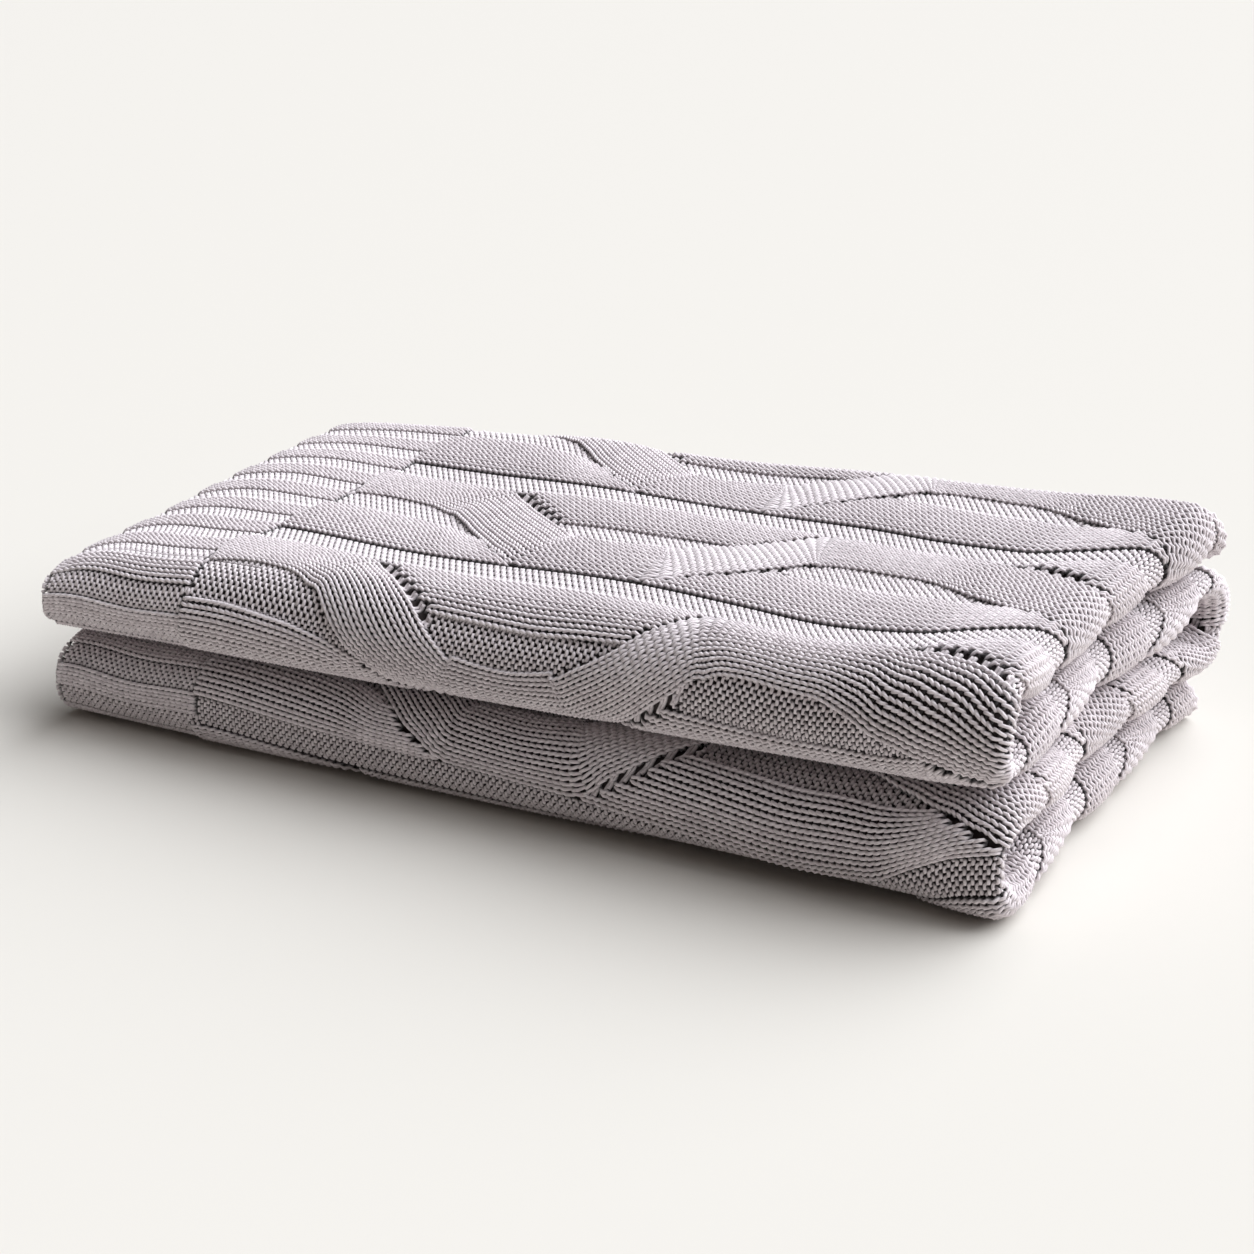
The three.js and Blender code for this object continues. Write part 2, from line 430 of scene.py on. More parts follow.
def place(across, along, lift):
    """World places of points of the knit, lift metres out of its middle surface."""
    def table(values):
        return np.interp(across, ACROSS, values)

    flat, quarter, bulge = table(FLAT), table(QUARTER), table(BULGE)
    stretched = along * (flat + quarter) / REACH
    far = along > REACH
    run = np.where(far, 2 * (flat + quarter) - stretched, stretched)
    turn = np.clip((run - flat) / quarter, 0, 1) * math.pi / 2
    sine, cosine = np.sin(turn), np.cos(turn)
    x = table(BORDER_EDGE) + np.minimum(run, flat) + bulge * sine

    def ply(name):
        return np.where(far, table(PLIES[-1][name]), table(PLIES[1][name]))

    middle_y, middle_z = table(MIDDLE_Y), table(MIDDLE_Z)
    y = middle_y + (ply("y") - middle_y) * cosine
    z = middle_z + (ply("z") - middle_z) * cosine
    normal = np.stack([sine, ply("ny") * cosine, ply("nz") * cosine], -1)
    normal /= np.linalg.norm(normal, axis=-1, keepdims=True)
    height = z * height_share(x) + undulation(x, y, z / PITCH)
    point = np.stack([x, y, height], -1) + normal * np.asarray(lift)[..., None]
    point[:, 2] = np.maximum(point[:, 2], FLOOR_CLEARANCE)
    return point, normal


# -------------------- the pattern
def phase_of(along):
    return (along - REPEAT_START) / REPEAT


def drift(along):
    """How far the pattern has wandered across at this point along."""
    keys = np.array(DRIFT)
    return hermite(keys[:, 0], keys[:, 1], np.clip(along, 0, DRIFT[-1][0]))


def over_middle(along):
    phase = phase_of(along)
    return (over_top(phase) + over_bottom(phase)) / 2 + drift(along)


def over_slant(along):
    """The angle at which the over strand runs across the throw."""
    rise = over_middle(along + SLANT_REACH) - over_middle(along - SLANT_REACH)
    return np.arctan(rise / (2 * SLANT_REACH))


def rib_wander(along, across):
    edge = np.minimum(along, ALONG_END - along)
    near_edge = 1 - edge / BORDER_LENGTH
    return RIB_WANDER * np.sin(edge / 0.017 + across / 0.11) * near_edge


def strand(first, last, wales, knit, lift, crown, shows):
    return {"first": first, "last": last, "wales": wales, "knit": knit, "lift": lift,
            "crown": crown, "shows": shows}


def crossing(phase):
    """1 where one strand lies over the other, 0 between the crossings."""
    shares = [smoothstep((phase - start) / CROSSING_RAMP) * smoothstep((end - phase) / CROSSING_RAMP)
              for start, end in CROSSINGS]
    return np.maximum.reduce(shares)


def beside_ladder(phase, side):
    """1 along the row of holes on one side of the over strand, 0 elsewhere."""
    start = next(first for first, where in LADDERS if where == side)
    length = RUNGS * RUNG_STEP / REPEAT
    inside = np.mod(phase - start + LADDER_LEAD, 1.0)
    fading = smoothstep((length + LADDER_TAIL - inside) / LADDER_RAMP)
    return smoothstep(inside / LADDER_RAMP) * fading


def hole_width(phase, side):
    """How wide the row of holes is that the under strand leaves beside the over strand."""
    return RUNG_REACH * LADDER_SHARE * beside_ladder(phase, side)


def over_shows(phase, across):
    """Everywhere: nothing lies over this strand."""
    return np.full(np.shape(across), True)


def under_top_shows(phase, across):
    gap = STRAND_GAP + hole_width(phase, -1)
    return within(phase, UNDER_TOP_PHASES) & (across < over_top(phase) - gap)


def under_bottom_shows(phase, across):
    gap = STRAND_GAP + hole_width(phase, 1)
    return within(phase, UNDER_BOTTOM_PHASES) & (across > over_bottom(phase) + gap)


def ground_shows(phase, across):
    first_lens = within(phase, FIRST_LENS_PHASES)
    first_lens &= across > under_at_top(phase) - GROUND_TUCK
    first_lens &= across < over_top(phase) + GROUND_TUCK
    second_lens = within(phase, SECOND_LENS_PHASES)
    second_lens &= across > over_bottom(phase) - GROUND_TUCK
    second_lens &= across < under_at_bottom(phase) + GROUND_TUCK
    return (across < STRIP) | first_lens | second_lens


def constant(value):
    return lambda phase: np.full(np.shape(phase), value)


# The over strand, the under strand above and below it, and the ground behind them.
STRANDS = (
    strand(over_top, over_bottom, OVER_WALES,
           knit=1, lift=0.0005, crown=0.0016, shows=over_shows),
    strand(constant(STRIP), under_at_top, UNDER_WALES,
           knit=1, lift=0.0006, crown=0.0020, shows=under_top_shows),
    strand(under_at_bottom, constant(PERIOD - STRIP_GAP), UNDER_WALES,
           knit=1, lift=0.0006, crown=0.0020, shows=under_bottom_shows),
    strand(constant(0.0), constant(PERIOD), GROUND_WALES,
           knit=-1, lift=-0.0011, crown=0.0, shows=ground_shows),
)
OVER, UNDER_TOP, UNDER_BOTTOM, GROUND = range(4)


def courses():
    """The middle of each body course, along, and how far apart they lie."""
    body = ALONG_END - 2 * BORDER_LENGTH
    count = int(round(body / BODY_COURSE))
    step = body / count
    return BORDER_LENGTH + step * (np.arange(count) + 0.5), step


def over_courses():
    """The same for the over strand, whose courses are evenly spaced along its own slant."""
    along = np.arange(BORDER_LENGTH, ALONG_END - BORDER_LENGTH, PATH_STEP)
    slant = over_slant(along[:-1] + PATH_STEP / 2)
    length = np.concatenate([[0], np.cumsum(PATH_STEP / np.cos(slant))])
    count = int(round(length[-1] / BODY_COURSE))
    step = length[-1] / count
    return np.interp(step * (np.arange(count) + 0.5), length, along), step


def border_courses():
    step = BORDER_LENGTH / BORDER_COURSES
    near = step * (np.arange(BORDER_COURSES) + 0.5)
    return np.concatenate([near, ALONG_END - near[::-1]]), step


def period_starts():
    count = int(math.ceil((ACROSS_END - FIRST_STRIP) / PERIOD))
    return FIRST_STRIP + PERIOD * np.arange(count)


def clear_of_selvages(across, clearance):
    return (across > clearance) & (across < ACROSS_END - clearance)


def stitch_grid(middles, wales):
    """Along, start of the period and wale of every stitch of the courses at these middles."""
    starts = period_starts()
    shape = (len(middles), len(starts), wales)
    along = np.broadcast_to(middles[:, None, None], shape).ravel()
    start = np.broadcast_to(starts[None, :, None], shape).ravel()
    wale = np.broadcast_to(np.arange(wales), shape).ravel()
    return along, start, wale


def kept_stitches(kind, along, start, wale, across, step, keep):
    count = keep.sum()
    return {"kind": np.full(count, kind), "along": along[keep], "start": start[keep],
            "wale": wale[keep], "across": across[keep], "step": np.full(count, step)}


def body_stitches():
    """Every stitch of the cable body: its strand, wale, course and the start of its period."""
    found = []
    for kind, ribbon in enumerate(STRANDS):
        middles, step = over_courses() if kind == OVER else courses()
        along, start, wale = stitch_grid(middles, ribbon["wales"])
        phase = phase_of(along)
        first, last = ribbon["first"](phase), ribbon["last"](phase)
        local = first + (last - first) * (wale + 0.5) / ribbon["wales"]
        across = start + local + drift(along)
        keep = ribbon["shows"](phase, local) & clear_of_selvages(across, EDGE_CLEARANCE)
        found.append(kept_stitches(kind, along, start, wale, across, step, keep))
    return {name: np.concatenate([part[name] for part in found]) for name in found[0]}


def rib_stitches():
    """Every stitch of the two borders: three knit wales, then three purl wales."""
    middles, step = border_courses()
    along, start, wale = stitch_grid(middles, RIB_WALES)
    across = start + PERIOD * (wale + 0.5) / RIB_WALES
    keep = clear_of_selvages(across, EDGE_CLEARANCE)
    return kept_stitches(len(STRANDS), along, start, wale, across, step, keep)


# -------------------- which stitches are knitted
def on_outer_ply(along):
    return along < REACH


def from_border(along):
    return np.minimum(along, ALONG_END - along)


def shown_outside(across, along):
    """Whether a point of the knit can be seen on the folded stack."""
    outer = on_outer_ply(along)
    ridge = np.abs(along - REACH) < RIDGE_REACH
    open_ends = from_border(along) < OPEN_END_REACH
    top = outer & (across < CRESTS[0] + FRONT_REACH)
    bottom = outer & (across > CRESTS[2] - FRONT_REACH)
    back = ~outer & (np.abs(across - CRESTS[1]) < BACK_REACH)
    selvages = ~outer & ((across < SELVAGE_SEEN) | (across > ACROSS_END - SELVAGE_SEEN))
    return ridge | open_ends | top | bottom | back | selvages


def seen_closely(across, along):
    """Whether it faces the light and the front, where the loops are finest."""
    outer = on_outer_ply(along)
    ridge = np.abs(along - REACH) < RIDGE_REACH
    return ridge | (outer & (across < CRESTS[2] + UNDERSIDE_REACH) & (across > 0))


# -------------------- yarn
def leaning(t):
    """How far sideways the yarn of a loop has gone, from one wale's edge to the other."""
    return t - 0.5 + LEG_SPREAD * np.sin(4 * np.pi * t)


def body_path(index, along, start, wale, t, step):
    """The yarn of one strand's stitches: across, along, lift, kind of stitch and radius."""
    ribbon = STRANDS[index]
    climb = -step * LOOP_COURSES / 2 * np.cos(2 * np.pi * t)
    slant = over_slant(along) if index == OVER else np.zeros_like(along)
    along = along + climb * np.cos(slant)
    phase = phase_of(along)
    first, last = ribbon["first"](phase), ribbon["last"](phase)
    slant = over_slant(along) if index == OVER else 0.0
    width = (last - first) * np.cos(slant) / ribbon["wales"]
    offset = width * (wale + 0.5 - ribbon["wales"] / 2)
    middle = (first + last) / 2 + drift(along)
    neck, sink = emerging(index, phase, (first + last) / 2 + offset)
    across_strand = offset + width * leaning(t) * neck
    share = np.clip(across_strand / (width * ribbon["wales"]), -0.5, 0.5)
    crown = ribbon["crown"] * (1 - np.abs(2 * share) ** CROWN_POWER)
    over = CROSSING_LIFT * crossing(np.mod(phase, 1)) if index == OVER else 0.0
    thinned = YARN_SHARE * width * (1 - YARN_NECK + YARN_NECK * neck)
    radius = np.clip(thinned, YARN_THINNEST, YARN_RADIUS)
    across = start + middle + across_strand * np.cos(slant)
    along = along - across_strand * np.sin(slant)
    return across, along, ribbon["lift"] + crown + over - sink, ribbon["knit"], radius


def rib_path(along, start, wale, t, step):
    """The same for the borders, whose wales run straight and waver a little."""
    along = along - step * LOOP_COURSES / 2 * np.cos(2 * np.pi * t)
    local = PERIOD * (wale + 0.5 + leaning(t)) / RIB_WALES
    across = start + local + rib_wander(along, start + local)
    knit = np.where(wale % RIB_REPEAT < RIB_REPEAT / 2, 1, -1)
    lift = RIB_LIFT * knit
    return across, along, lift, knit, np.full_like(along, RIB_YARN_RADIUS)


def stitch_path(stitches, samples):
    """Across, along and lift of the yarn through each stitch, its radius and its rise."""
    t = (np.arange(samples) + 0.5) / samples
    shape = (len(stitches["kind"]), samples)
    across, along, lift, radius, rise = (np.zeros(shape) for _ in range(5))
    for index in range(len(STRANDS) + 1):
        mine = stitches["kind"] == index
        if not mine.any():
            continue
        values = [stitches[name][mine][:, None] for name in ("along", "start", "wale", "step")]
        middle, start, wale, step = values
        if index < len(STRANDS):
            path = body_path(index, middle, start, wale, t[None], step)
        else:
            path = rib_path(middle, start, wale, t[None], step)
        depth = LOOP_DEPTH * path[3] * np.cos(4 * np.pi * t[None])
        plump = 1 - LOOP_PLUMPNESS * path[3] * np.cos(4 * np.pi * t[None])
        across[mine], along[mine] = path[0], path[1]
        lift[mine] = path[2] - depth
        rise[mine] = -depth
        radius[mine] = path[4] * plump
    return across, along, lift, radius, rise


def emerging(index, phase, middle):
    """How much a wale that comes out from under a crossing is drawn together, and how low it is."""
    if index == UNDER_TOP:
        distance = over_top(phase) - middle - hole_width(phase, -1)
        near = np.mod(phase, 1) > 0.5
    elif index == UNDER_BOTTOM:
        distance = middle - over_bottom(phase) - hole_width(phase, 1)
        near = np.mod(phase, 1) < 0.62
    else:
        return 1.0, 0.0
    closeness = np.where(near, 1 - smoothstep(distance / EMERGING_REACH), 0)
    return 1 - EMERGING_NECK * closeness, EMERGING_SINK * closeness


def rungs():
    """The long stitches bridging the holes beside each crossing, as yarn paths."""
    t = np.linspace(0, 1, RUNG_SAMPLES)
    found = {"across": [], "along": [], "lift": []}
    for start in period_starts():
        for first, side in LADDERS:
            edge = over_bottom if side > 0 else over_top
            for repeat in range(-1, int(ALONG_END / REPEAT) + 1):
                for number in range(RUNGS):
                    foot = (repeat + first) * REPEAT + REPEAT_START
                    foot += number * RUNG_STEP
                    for leg in RUNG_LEGS:
                        along = foot + leg - side * RUNG_LEAN * t
                        reach = side * (RUNG_REACH * RUNG_STRETCH * t - RUNG_START)
                        across = start + edge(phase_of(along)) + drift(along) + reach
                        found["across"].append(across)
                        found["along"].append(along)
                        sag = RUNG_SAG * np.sin(np.pi * t * 0.9) ** 2
                        found["lift"].append(RUNG_TOP - sag)
    return {name: np.array(values) for name, values in found.items()}


def same_run(stitches):
    """For each stitch, whether the yarn goes straight on into the next one in the list."""
    same = np.ones(len(stitches["kind"]), bool)
    for name in ("kind", "along", "start"):
        same[:-1] &= stitches[name][1:] == stitches[name][:-1]
    same[:-1] &= stitches["wale"][1:] == stitches["wale"][:-1] + 1
    same[-1] = False
    return same


def yarn_mesh(name, path, joined, sides):
    """One mesh of closed yarn tubes along the rows of a path; joined rows run on into the next."""
    across, along, lift, radius, rise = path
    point, normal = place(across.ravel(), along.ravel(), lift.ravel())
    count = len(point)
    linked = np.ones(across.shape, bool)
    linked[:, -1] = joined
    linked = linked.ravel()
    index = np.arange(count)
    after = np.where(linked, index + 1, index)
    before = np.where(np.concatenate([[False], linked[:-1]]), index - 1, index)
    tangent = point[after] - point[before]
    tangent /= np.linalg.norm(tangent, axis=1, keepdims=True) + 1e-12
    sideways = np.cross(tangent, normal)
    sideways /= np.linalg.norm(sideways, axis=1, keepdims=True) + 1e-12
    outward = np.cross(sideways, tangent)
    angle = 2 * np.pi * (np.arange(sides) + 0.5) / sides
    ring = (sideways[:, None] * np.cos(angle)[None, :, None]
            + outward[:, None] * np.sin(angle)[None, :, None])
    vertices = point[:, None] + ring * radius.ravel()[:, None, None]
    vertices[..., 2] = np.maximum(vertices[..., 2], FLOOR_CLEARANCE)
    outwardness = (ring * normal[:, None]).sum(-1)
    height = rise.ravel()[:, None] + outwardness * radius.ravel()[:, None]
    corner = np.arange(sides)
    following = (corner + 1) % sides
    rings = index[linked]
    base, onward = rings[:, None] * sides, (rings[:, None] + 1) * sides
    quads = np.stack([base + corner, onward + corner, onward + following, base + following], -1)
    starts = index[before == index]
    ends = index[after == index]
    start_caps = starts[:, None] * sides + corner[None]
    end_caps = ends[:, None] * sides + corner[None, ::-1]
    loops = np.concatenate([quads.ravel(), start_caps.ravel(), end_caps.ravel()])
    cap_sizes = np.full(len(starts) + len(ends), sides)
    sizes = np.concatenate([np.full(quads.shape[0] * sides, 4), cap_sizes])
    piece = make_mesh(name, vertices.reshape(-1, 3), loops, sizes)
    # the height of each vertex in the knit, from which the yarn's painted shade is taken
    attribute = piece.data.attributes.new("height", "FLOAT", "POINT")
    attribute.data.foreach_set("value", height.astype(np.float32).ravel())
    return piece


def make_mesh(name, vertices, loops, sizes):
    mesh = bpy.data.meshes.new(name)
    mesh.vertices.add(len(vertices))
    mesh.vertices.foreach_set("co", vertices.astype(np.float32).ravel())
    mesh.loops.add(len(loops))
    mesh.loops.foreach_set("vertex_index", loops.astype(np.int32))
    mesh.polygons.add(len(sizes))
    begins = np.concatenate([[0], np.cumsum(sizes)[:-1]])
    mesh.polygons.foreach_set("loop_start", begins.astype(np.int32))
    mesh.polygons.foreach_set("use_smooth", np.ones(len(sizes), bool))
    mesh.update(calc_edges=True)
    mesh.validate()
    piece = bpy.data.objects.new(name, mesh)
    bpy.context.scene.collection.objects.link(piece)
    return piece


# -------------------- materials
def new_material(name):
    material = bpy.data.materials.new(name)
    material.use_nodes = True
    nodes, links = material.node_tree.nodes, material.node_tree.links
    return material, nodes, links, nodes["Principled BSDF"]


def yarn_material(name, dark, pale):
    """Matte plied yarn: a melange of two close shades, with fibres standing in its surface, and
    painted shade that darkens its colour where the yarn lies deep in the knit.
    """
    material, nodes, links, shader = new_material(name)
    place_node = nodes.new("ShaderNodeTexCoord")
    melange = nodes.new("ShaderNodeTexNoise")
    melange.inputs["Scale"].default_value = 260
    melange.inputs["Detail"].default_value = 5
    ramp = nodes.new("ShaderNodeValToRGB")
    ramp.color_ramp.elements[0].position = 0.32
    ramp.color_ramp.elements[0].color = (*dark, 1)
    ramp.color_ramp.elements[1].position = 0.68
    ramp.color_ramp.elements[1].color = (*pale, 1)
    fibres = nodes.new("ShaderNodeTexNoise")
    fibres.inputs["Scale"].default_value = 1500
    fibres.inputs["Detail"].default_value = 3
    bump = nodes.new("ShaderNodeBump")
    bump.inputs["Strength"].default_value = 0.35
    bump.inputs["Distance"].default_value = 0.0004
    links.new(place_node.outputs["Object"], melange.inputs["Vector"])
    links.new(place_node.outputs["Object"], fibres.inputs["Vector"])
    links.new(melange.outputs["Fac"], ramp.inputs["Fac"])
    # painted shade: the colour is multiplied darker where the yarn lies low in the knit, standing
    # for the shade there
    height = nodes.new("ShaderNodeAttribute")
    height.attribute_name = "height"
    painted_shade = nodes.new("ShaderNodeMapRange")
    painted_shade.interpolation_type = "SMOOTHSTEP"
    painted_shade.inputs["From Min"].default_value = -0.0008
    painted_shade.inputs["From Max"].default_value = 0.0021
    painted_shade.inputs["To Min"].default_value = PAINTED_DEEP_SHADE
    deepen = nodes.new("ShaderNodeMix")
    deepen.data_type = "RGBA"
    deepen.blend_type = "MULTIPLY"
    deepen.inputs["Factor"].default_value = 1
    links.new(height.outputs["Fac"], painted_shade.inputs["Value"])
    links.new(ramp.outputs["Color"], deepen.inputs[6])
    links.new(painted_shade.outputs["Result"], deepen.inputs[7])
    links.new(deepen.outputs[2], shader.inputs["Base Color"])
    links.new(fibres.outputs["Fac"], bump.inputs["Height"])
    links.new(bump.outputs["Normal"], shader.inputs["Normal"])
    shader.inputs["Roughness"].default_value = 0.65
    shader.inputs["Sheen Weight"].default_value = 0.25
    shader.inputs["Sheen Roughness"].default_value = 0.6
    shader.inputs["Specular IOR Level"].default_value = 0.45
    return material


def bare_knit_material(name, colour):
    """Plain stocking stitch drawn in the cloth itself, for the faces hidden between the folds, with
    painted shade darkening the hollows between its drawn loops.
    """
    material, nodes, links, shader = new_material(name)

    def math_node(operation, first, second=None):
        node = nodes.new("ShaderNodeMath")
        node.operation = operation
        for socket, value in zip(node.inputs, (first, second)):
            if isinstance(value, (int, float)):
                socket.default_value = value
            elif value is not None:
                links.new(value, socket)
        return node.outputs["Value"]

    uv = nodes.new("ShaderNodeUVMap")
    uv.uv_map = "knit"
    parts = nodes.new("ShaderNodeSeparateXYZ")
    links.new(uv.outputs["UV"], parts.inputs["Vector"])
    wale, course = parts.outputs["X"], parts.outputs["Y"]
    from_middle = math_node("ABSOLUTE", math_node("SUBTRACT", math_node("FRACT", wale), 0.5))
    along_leg = math_node("ADD", course, from_middle)
    leg = math_node("ABSOLUTE", math_node("SINE", math_node("MULTIPLY", wale, 2 * math.pi)))
    turn = math_node("ABSOLUTE", math_node("SINE", math_node("MULTIPLY", along_leg, math.pi)))
    height = math_node("POWER", math_node("MULTIPLY", leg, turn), 0.5)
    # painted shade: the colour falls to 0.16 of itself in the hollows between the drawn loops
    ramp = nodes.new("ShaderNodeValToRGB")
    ramp.color_ramp.elements[0].color = (*(0.16 * value for value in colour), 1)
    ramp.color_ramp.elements[1].position = 0.75
    ramp.color_ramp.elements[1].color = (*colour, 1)
    bump = nodes.new("ShaderNodeBump")
    bump.inputs["Strength"].default_value = 0.7
    bump.inputs["Distance"].default_value = 0.0015
    links.new(height, ramp.inputs["Fac"])
    links.new(height, bump.inputs["Height"])
    links.new(ramp.outputs["Color"], shader.inputs["Base Color"])
    links.new(bump.outputs["Normal"], shader.inputs["Normal"])
    shader.inputs["Roughness"].default_value = 0.75
    return material


def plain_material(name, colour, roughness=0.95):
    material, nodes, links, shader = new_material(name)
    shader.inputs["Base Color"].default_value = (*colour, 1)
    shader.inputs["Roughness"].default_value = roughness
    return material


# -------------------- camera, light and floor
def look_from(azimuth, elevation, distance, target):
    a, e = math.radians(azimuth), math.radians(elevation)
    back = Vector((math.sin(a) * math.cos(e), -math.cos(a) * math.cos(e), math.sin(e)))
    return Vector(target) + back * distance, (-back).to_track_quat("-Z", "Y")


def make_camera():
    camera = bpy.data.objects.new("camera", bpy.data.cameras.new("camera"))
    camera.data.sensor_width = 36
    camera.data.lens = CAMERA_LENS
    camera.rotation_mode = "QUATERNION"
    eye, facing = look_from(CAMERA_AZIMUTH, CAMERA_ELEVATION, CAMERA_DISTANCE, CAMERA_TARGET)
    camera.location, camera.rotation_quaternion = eye, facing
    camera.data.clip_start, camera.data.clip_end = 0.05, 50
    bpy.context.scene.collection.objects.link(camera)
    bpy.context.scene.camera = camera


def sun(name, azimuth, elevation, strength, softness, colour):
    light = bpy.data.lights.new(name, "SUN")
    light.energy = strength
    light.angle = math.radians(softness)
    light.color = colour
    lamp = bpy.data.objects.new(name, light)
    lamp.rotation_mode = "QUATERNION"
    lamp.location, lamp.rotation_quaternion = look_from(azimuth, elevation, 3, (0, 0, 0.05))
    bpy.context.scene.collection.objects.link(lamp)


def make_stage():
    bpy.context.scene.view_settings.view_transform = "Standard"
    world = bpy.data.worlds.new("studio")
    bpy.context.scene.world = world
    world.use_nodes = True
    background = world.node_tree.nodes["Background"]
    background.inputs["Color"].default_value = (*WORLD_COLOUR, 1)
    background.inputs["Strength"].default_value = WORLD_STRENGTH
    for name, azimuth, elevation, strength, softness in SUNS:
        sun(name, azimuth, elevation, strength, softness, SUN_COLOUR)
    bpy.ops.mesh.primitive_plane_add(size=FLOOR_SIZE, location=(0, 0, 0))
    floor = bpy.context.object
    floor.name = "floor"
    floor.data.materials.append(plain_material("pale_floor", FLOOR_COLOUR, 0.9))


# -------------------- pieces
def segments():
    """Name, first and last across, and body or pair of bodies, of each stretch of the throw."""
    edges = [0.0]
    for crest in CRESTS:
        edges += [crest - FOLD_REACH, crest + FOLD_REACH]
    edges.append(ACROSS_END)
    names = []
    for index, panel in enumerate(PANELS):
        names.append((panel, panel))
        if index < len(FOLDS):
            names.append((FOLDS[index][0], FOLDS[index]))
    return [(name, edges[i], edges[i + 1], bodies) for i, (name, bodies) in enumerate(names)]


def attach(piece, bodies):
    """Makes a piece ride on its panel; a piece across a fold between two panels only has its
    transform baked into its mesh.
    """
    if isinstance(bodies, str):
        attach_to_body(piece, bodies)
    else:
        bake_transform(piece)


def take(stitches, chosen):
    return {name: values[chosen] for name, values in stitches.items()}


def knit_segment(name, low, high, bodies, stitches, slot, material):
    """The yarn of one stretch, in as many pieces as its triangles need."""
    inside = (stitches["across"] >= low) & (stitches["across"] < high)
    made = []
    closely = seen_closely(stitches["across"], stitches["along"])
    for label, close, samples, sides in YARN_GRADES:
        part = take(stitches, inside & (closely == close))
        total = len(part["kind"])
        if not total:
            continue
        order = np.lexsort((part["wale"], part["start"], part["kind"], part["along"]))
        part = take(part, order)
        per_stitch = 2 * samples * sides
        pieces = int(math.ceil(total * per_stitch / MAX_PIECE_TRIANGLES))
        cuts = np.quantile(part["along"], np.arange(1, pieces) / pieces)
        bounds = np.searchsorted(part["along"], cuts)
        for number, chosen in enumerate(np.split(np.arange(total), bounds)):
            piece_stitches = take(part, chosen)
            path = stitch_path(piece_stitches, samples)
            piece = yarn_mesh(f"{name}_{slot}_{label}_{number + 1}", path,
                              same_run(piece_stitches), sides)
            piece.data.materials.append(material)
            attach(piece, bodies)
            made.append(piece)
    return made


def rung_segment(name, low, high, bodies, found, material):
    """The long stitches of one stretch."""
    middle_across, middle_along = found["across"].mean(1), found["along"].mean(1)
    inside = (middle_across >= low) & (middle_across < high)
    inside &= clear_of_selvages(middle_across, RUNG_EDGE_CLEARANCE)
    inside &= shown_outside(middle_across, middle_along)
    inside &= from_border(middle_along) > BORDER_LENGTH + RUNG_BORDER_CLEARANCE
    if not inside.any():
        return []
    part = take(found, inside)
    radius = np.full(part["across"].shape, RUNG_RADIUS)
    rise = np.full(radius.shape, RUNG_HEIGHT)
    path = (part["across"], part["along"], part["lift"], radius, rise)
    joined = np.zeros(len(radius), bool)
    piece = yarn_mesh(f"{name}_long_stitches", path, joined, RUNG_SIDES)
    piece.data.materials.append(material)
    attach(piece, bodies)
    return [piece]


def relief(across, along):
    """How high the loops stand at a point: on a strand, on the ground or on the ribs."""
    phase = phase_of(along)
    local = np.mod(across - drift(along) - FIRST_STRIP, PERIOD)
    height = np.full(local.shape, STRANDS[GROUND]["lift"])
    for index in (UNDER_BOTTOM, UNDER_TOP, OVER):
        ribbon = STRANDS[index]
        first, last = ribbon["first"](phase), ribbon["last"](phase)
        inside = (local >= first) & (local <= last) & ribbon["shows"](phase, local)
        share = np.clip((local - first) / (last - first), 0, 1)
        crown = ribbon["crown"] * (1 - np.abs(2 * share - 1) ** CROWN_POWER)
        over = CROSSING_LIFT * crossing(np.mod(phase, 1)) if index == OVER else 0.0
        height = np.where(inside, ribbon["lift"] + crown + over, height)
    return np.where(from_border(along) < BORDER_LENGTH, RIB_RELIEF, height)


def lowest_around(values):
    """Each value replaced by the lowest among itself and its neighbours in the grid."""
    padded = np.pad(values, 1, mode="edge")
    rows, columns = values.shape
    shifted = [padded[i:i + rows, j:j + columns] for i in range(3) for j in range(3)]
    return np.min(shifted, axis=0)


def backing_steps():
    """Where the backing's grid lines lie along the throw: closer together round the end fold."""
    near = np.linspace(BACKING_MARGIN, REACH - FOLD_REACH, BACKING_ROWS)
    fold = np.linspace(REACH - FOLD_REACH, REACH + FOLD_REACH, BACKING_FOLD_ROWS)[1:-1]
    far = np.linspace(REACH + FOLD_REACH, ALONG_END - BACKING_MARGIN, BACKING_ROWS)
    return np.concatenate([near, fold, far])


def by_selvage(across):
    """Whether a point lies beside a free selvage, where the cloth shows between the loops."""
    return (across < SELVAGE_STRIP) | (across > ACROSS_END - SELVAGE_STRIP)


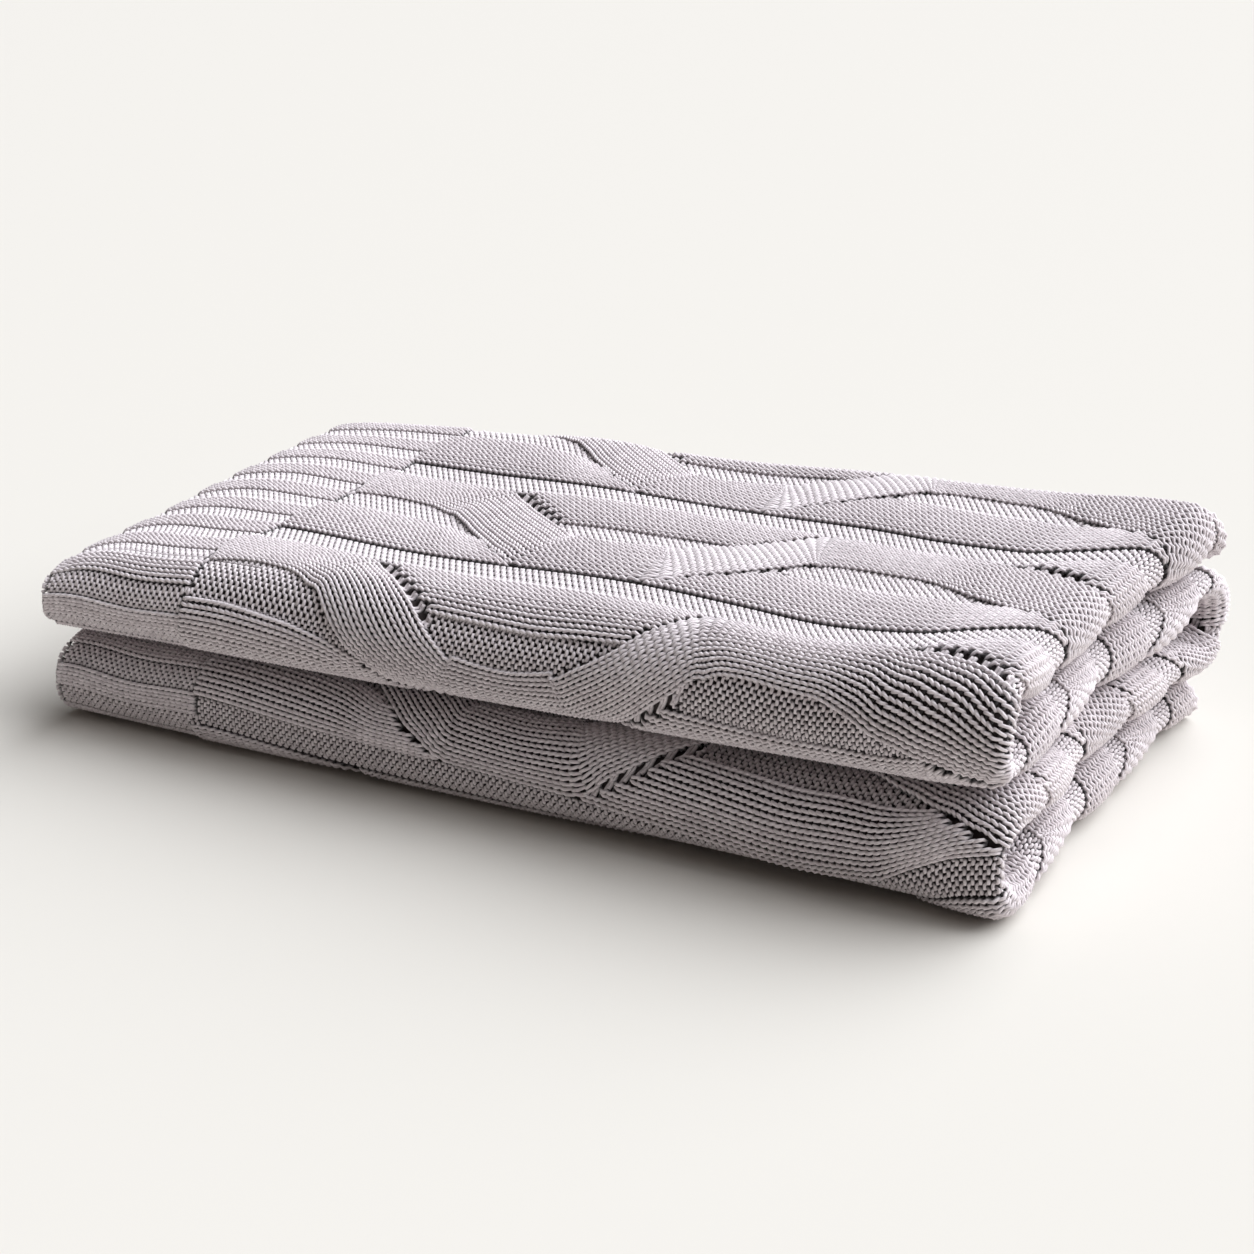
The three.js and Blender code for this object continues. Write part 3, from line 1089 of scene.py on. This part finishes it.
def backing_cloth(name, low, high, bodies, materials):
    """The closed sheet under the loops of one stretch, both plies and the end fold in one; under the
    loops, away from the selvages, its outer face is coloured as painted shade.
    """
    across = np.linspace(low, high, max(int((high - low) / BACKING_COLUMN), 8))
    grid_across, grid_along = np.meshgrid(across, backing_steps(), indexing="ij")
    shape = grid_across.shape
    flat_across, flat_along = grid_across.ravel(), grid_along.ravel()
    covered = shown_outside(flat_across, flat_along)
    loops_low = (lowest_around(relief(grid_across, grid_along)) - BACKING_DEPTH).ravel()
    outside = np.where(covered, loops_low, BARE_LIFT)
    inside = np.minimum(outside - 2 * BACKING_HALF, BACKING_INNER)
    sheets = [place(flat_across, flat_along, lift)[0] for lift in (outside, inside)]
    count = len(flat_across)
    index = np.arange(count).reshape(shape)
    a, b, c, d = index[:-1, :-1], index[1:, :-1], index[1:, 1:], index[:-1, 1:]
    outer = np.stack([a, d, c, b], -1).reshape(-1, 4)
    inner = np.stack([a, b, c, d], -1).reshape(-1, 4) + count
    rim = np.concatenate([index[:-1, 0], index[-1, :-1], index[:0:-1, -1], index[0, :0:-1]])
    ahead = np.roll(rim, -1)
    border = np.stack([rim, ahead, ahead + count, rim + count], -1)
    faces = np.concatenate([outer, inner, border])
    piece = make_mesh(f"{name}_backing", np.concatenate(sheets), faces.ravel(),
                      np.full(len(faces), 4))
    ribbed = from_border(flat_along) < BORDER_LENGTH
    # covered faces away from the selvages take the painted shade colours
    dark = covered & ~by_selvage(flat_across)
    kind = np.where(dark, np.where(ribbed, UNDER_RIBS, UNDER_CABLES), BARE)
    choice = np.concatenate([kind[outer].max(1), np.full(len(faces) - len(outer), BARE)])
    for material in materials:
        piece.data.materials.append(material)
    piece.data.polygons.foreach_set("material_index", choice.astype(np.int32))
    knit = piece.data.uv_layers.new(name="knit")
    scaled = np.stack([flat_across / BARE_WALE, flat_along / BODY_COURSE], -1)
    knit.data.foreach_set("uv", np.tile(scaled, (2, 1))[faces.ravel()].astype(np.float32).ravel())
    attach(piece, bodies)
    return piece


def main():
    make_camera()
    make_stage()
    cable = yarn_material("cable_yarn", YARN_DARK, YARN_PALE)
    rib = yarn_material("rib_yarn", YARN_DARK, YARN_PALE)
    backing = [
        plain_material("painted_shade_under_cables", CABLE_GAP_SHADE_COLOUR),
        plain_material("painted_shade_under_ribs", RIB_GAP_SHADE_COLOUR),
        bare_knit_material("bare_knit", BARE_KNIT_COLOUR),
    ]
    body, border = body_stitches(), rib_stitches()
    body = take(body, shown_outside(body["across"], body["along"]))
    border = take(border, shown_outside(border["across"], border["along"]))
    long_stitches = rungs()
    for name, low, high, bodies in segments():
        yarn = knit_segment(name, low, high, bodies, body, "cable_knit", cable)
        yarn += knit_segment(name, low, high, bodies, border, "rib_knit", rib)
        yarn += rung_segment(name, low, high, bodies, long_stitches, cable)
        sheet = backing_cloth(name, low, high, bodies, backing)
        if isinstance(bodies, str):
            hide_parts(*(f"{bodies}_{part}" for part in PARTS))


main()
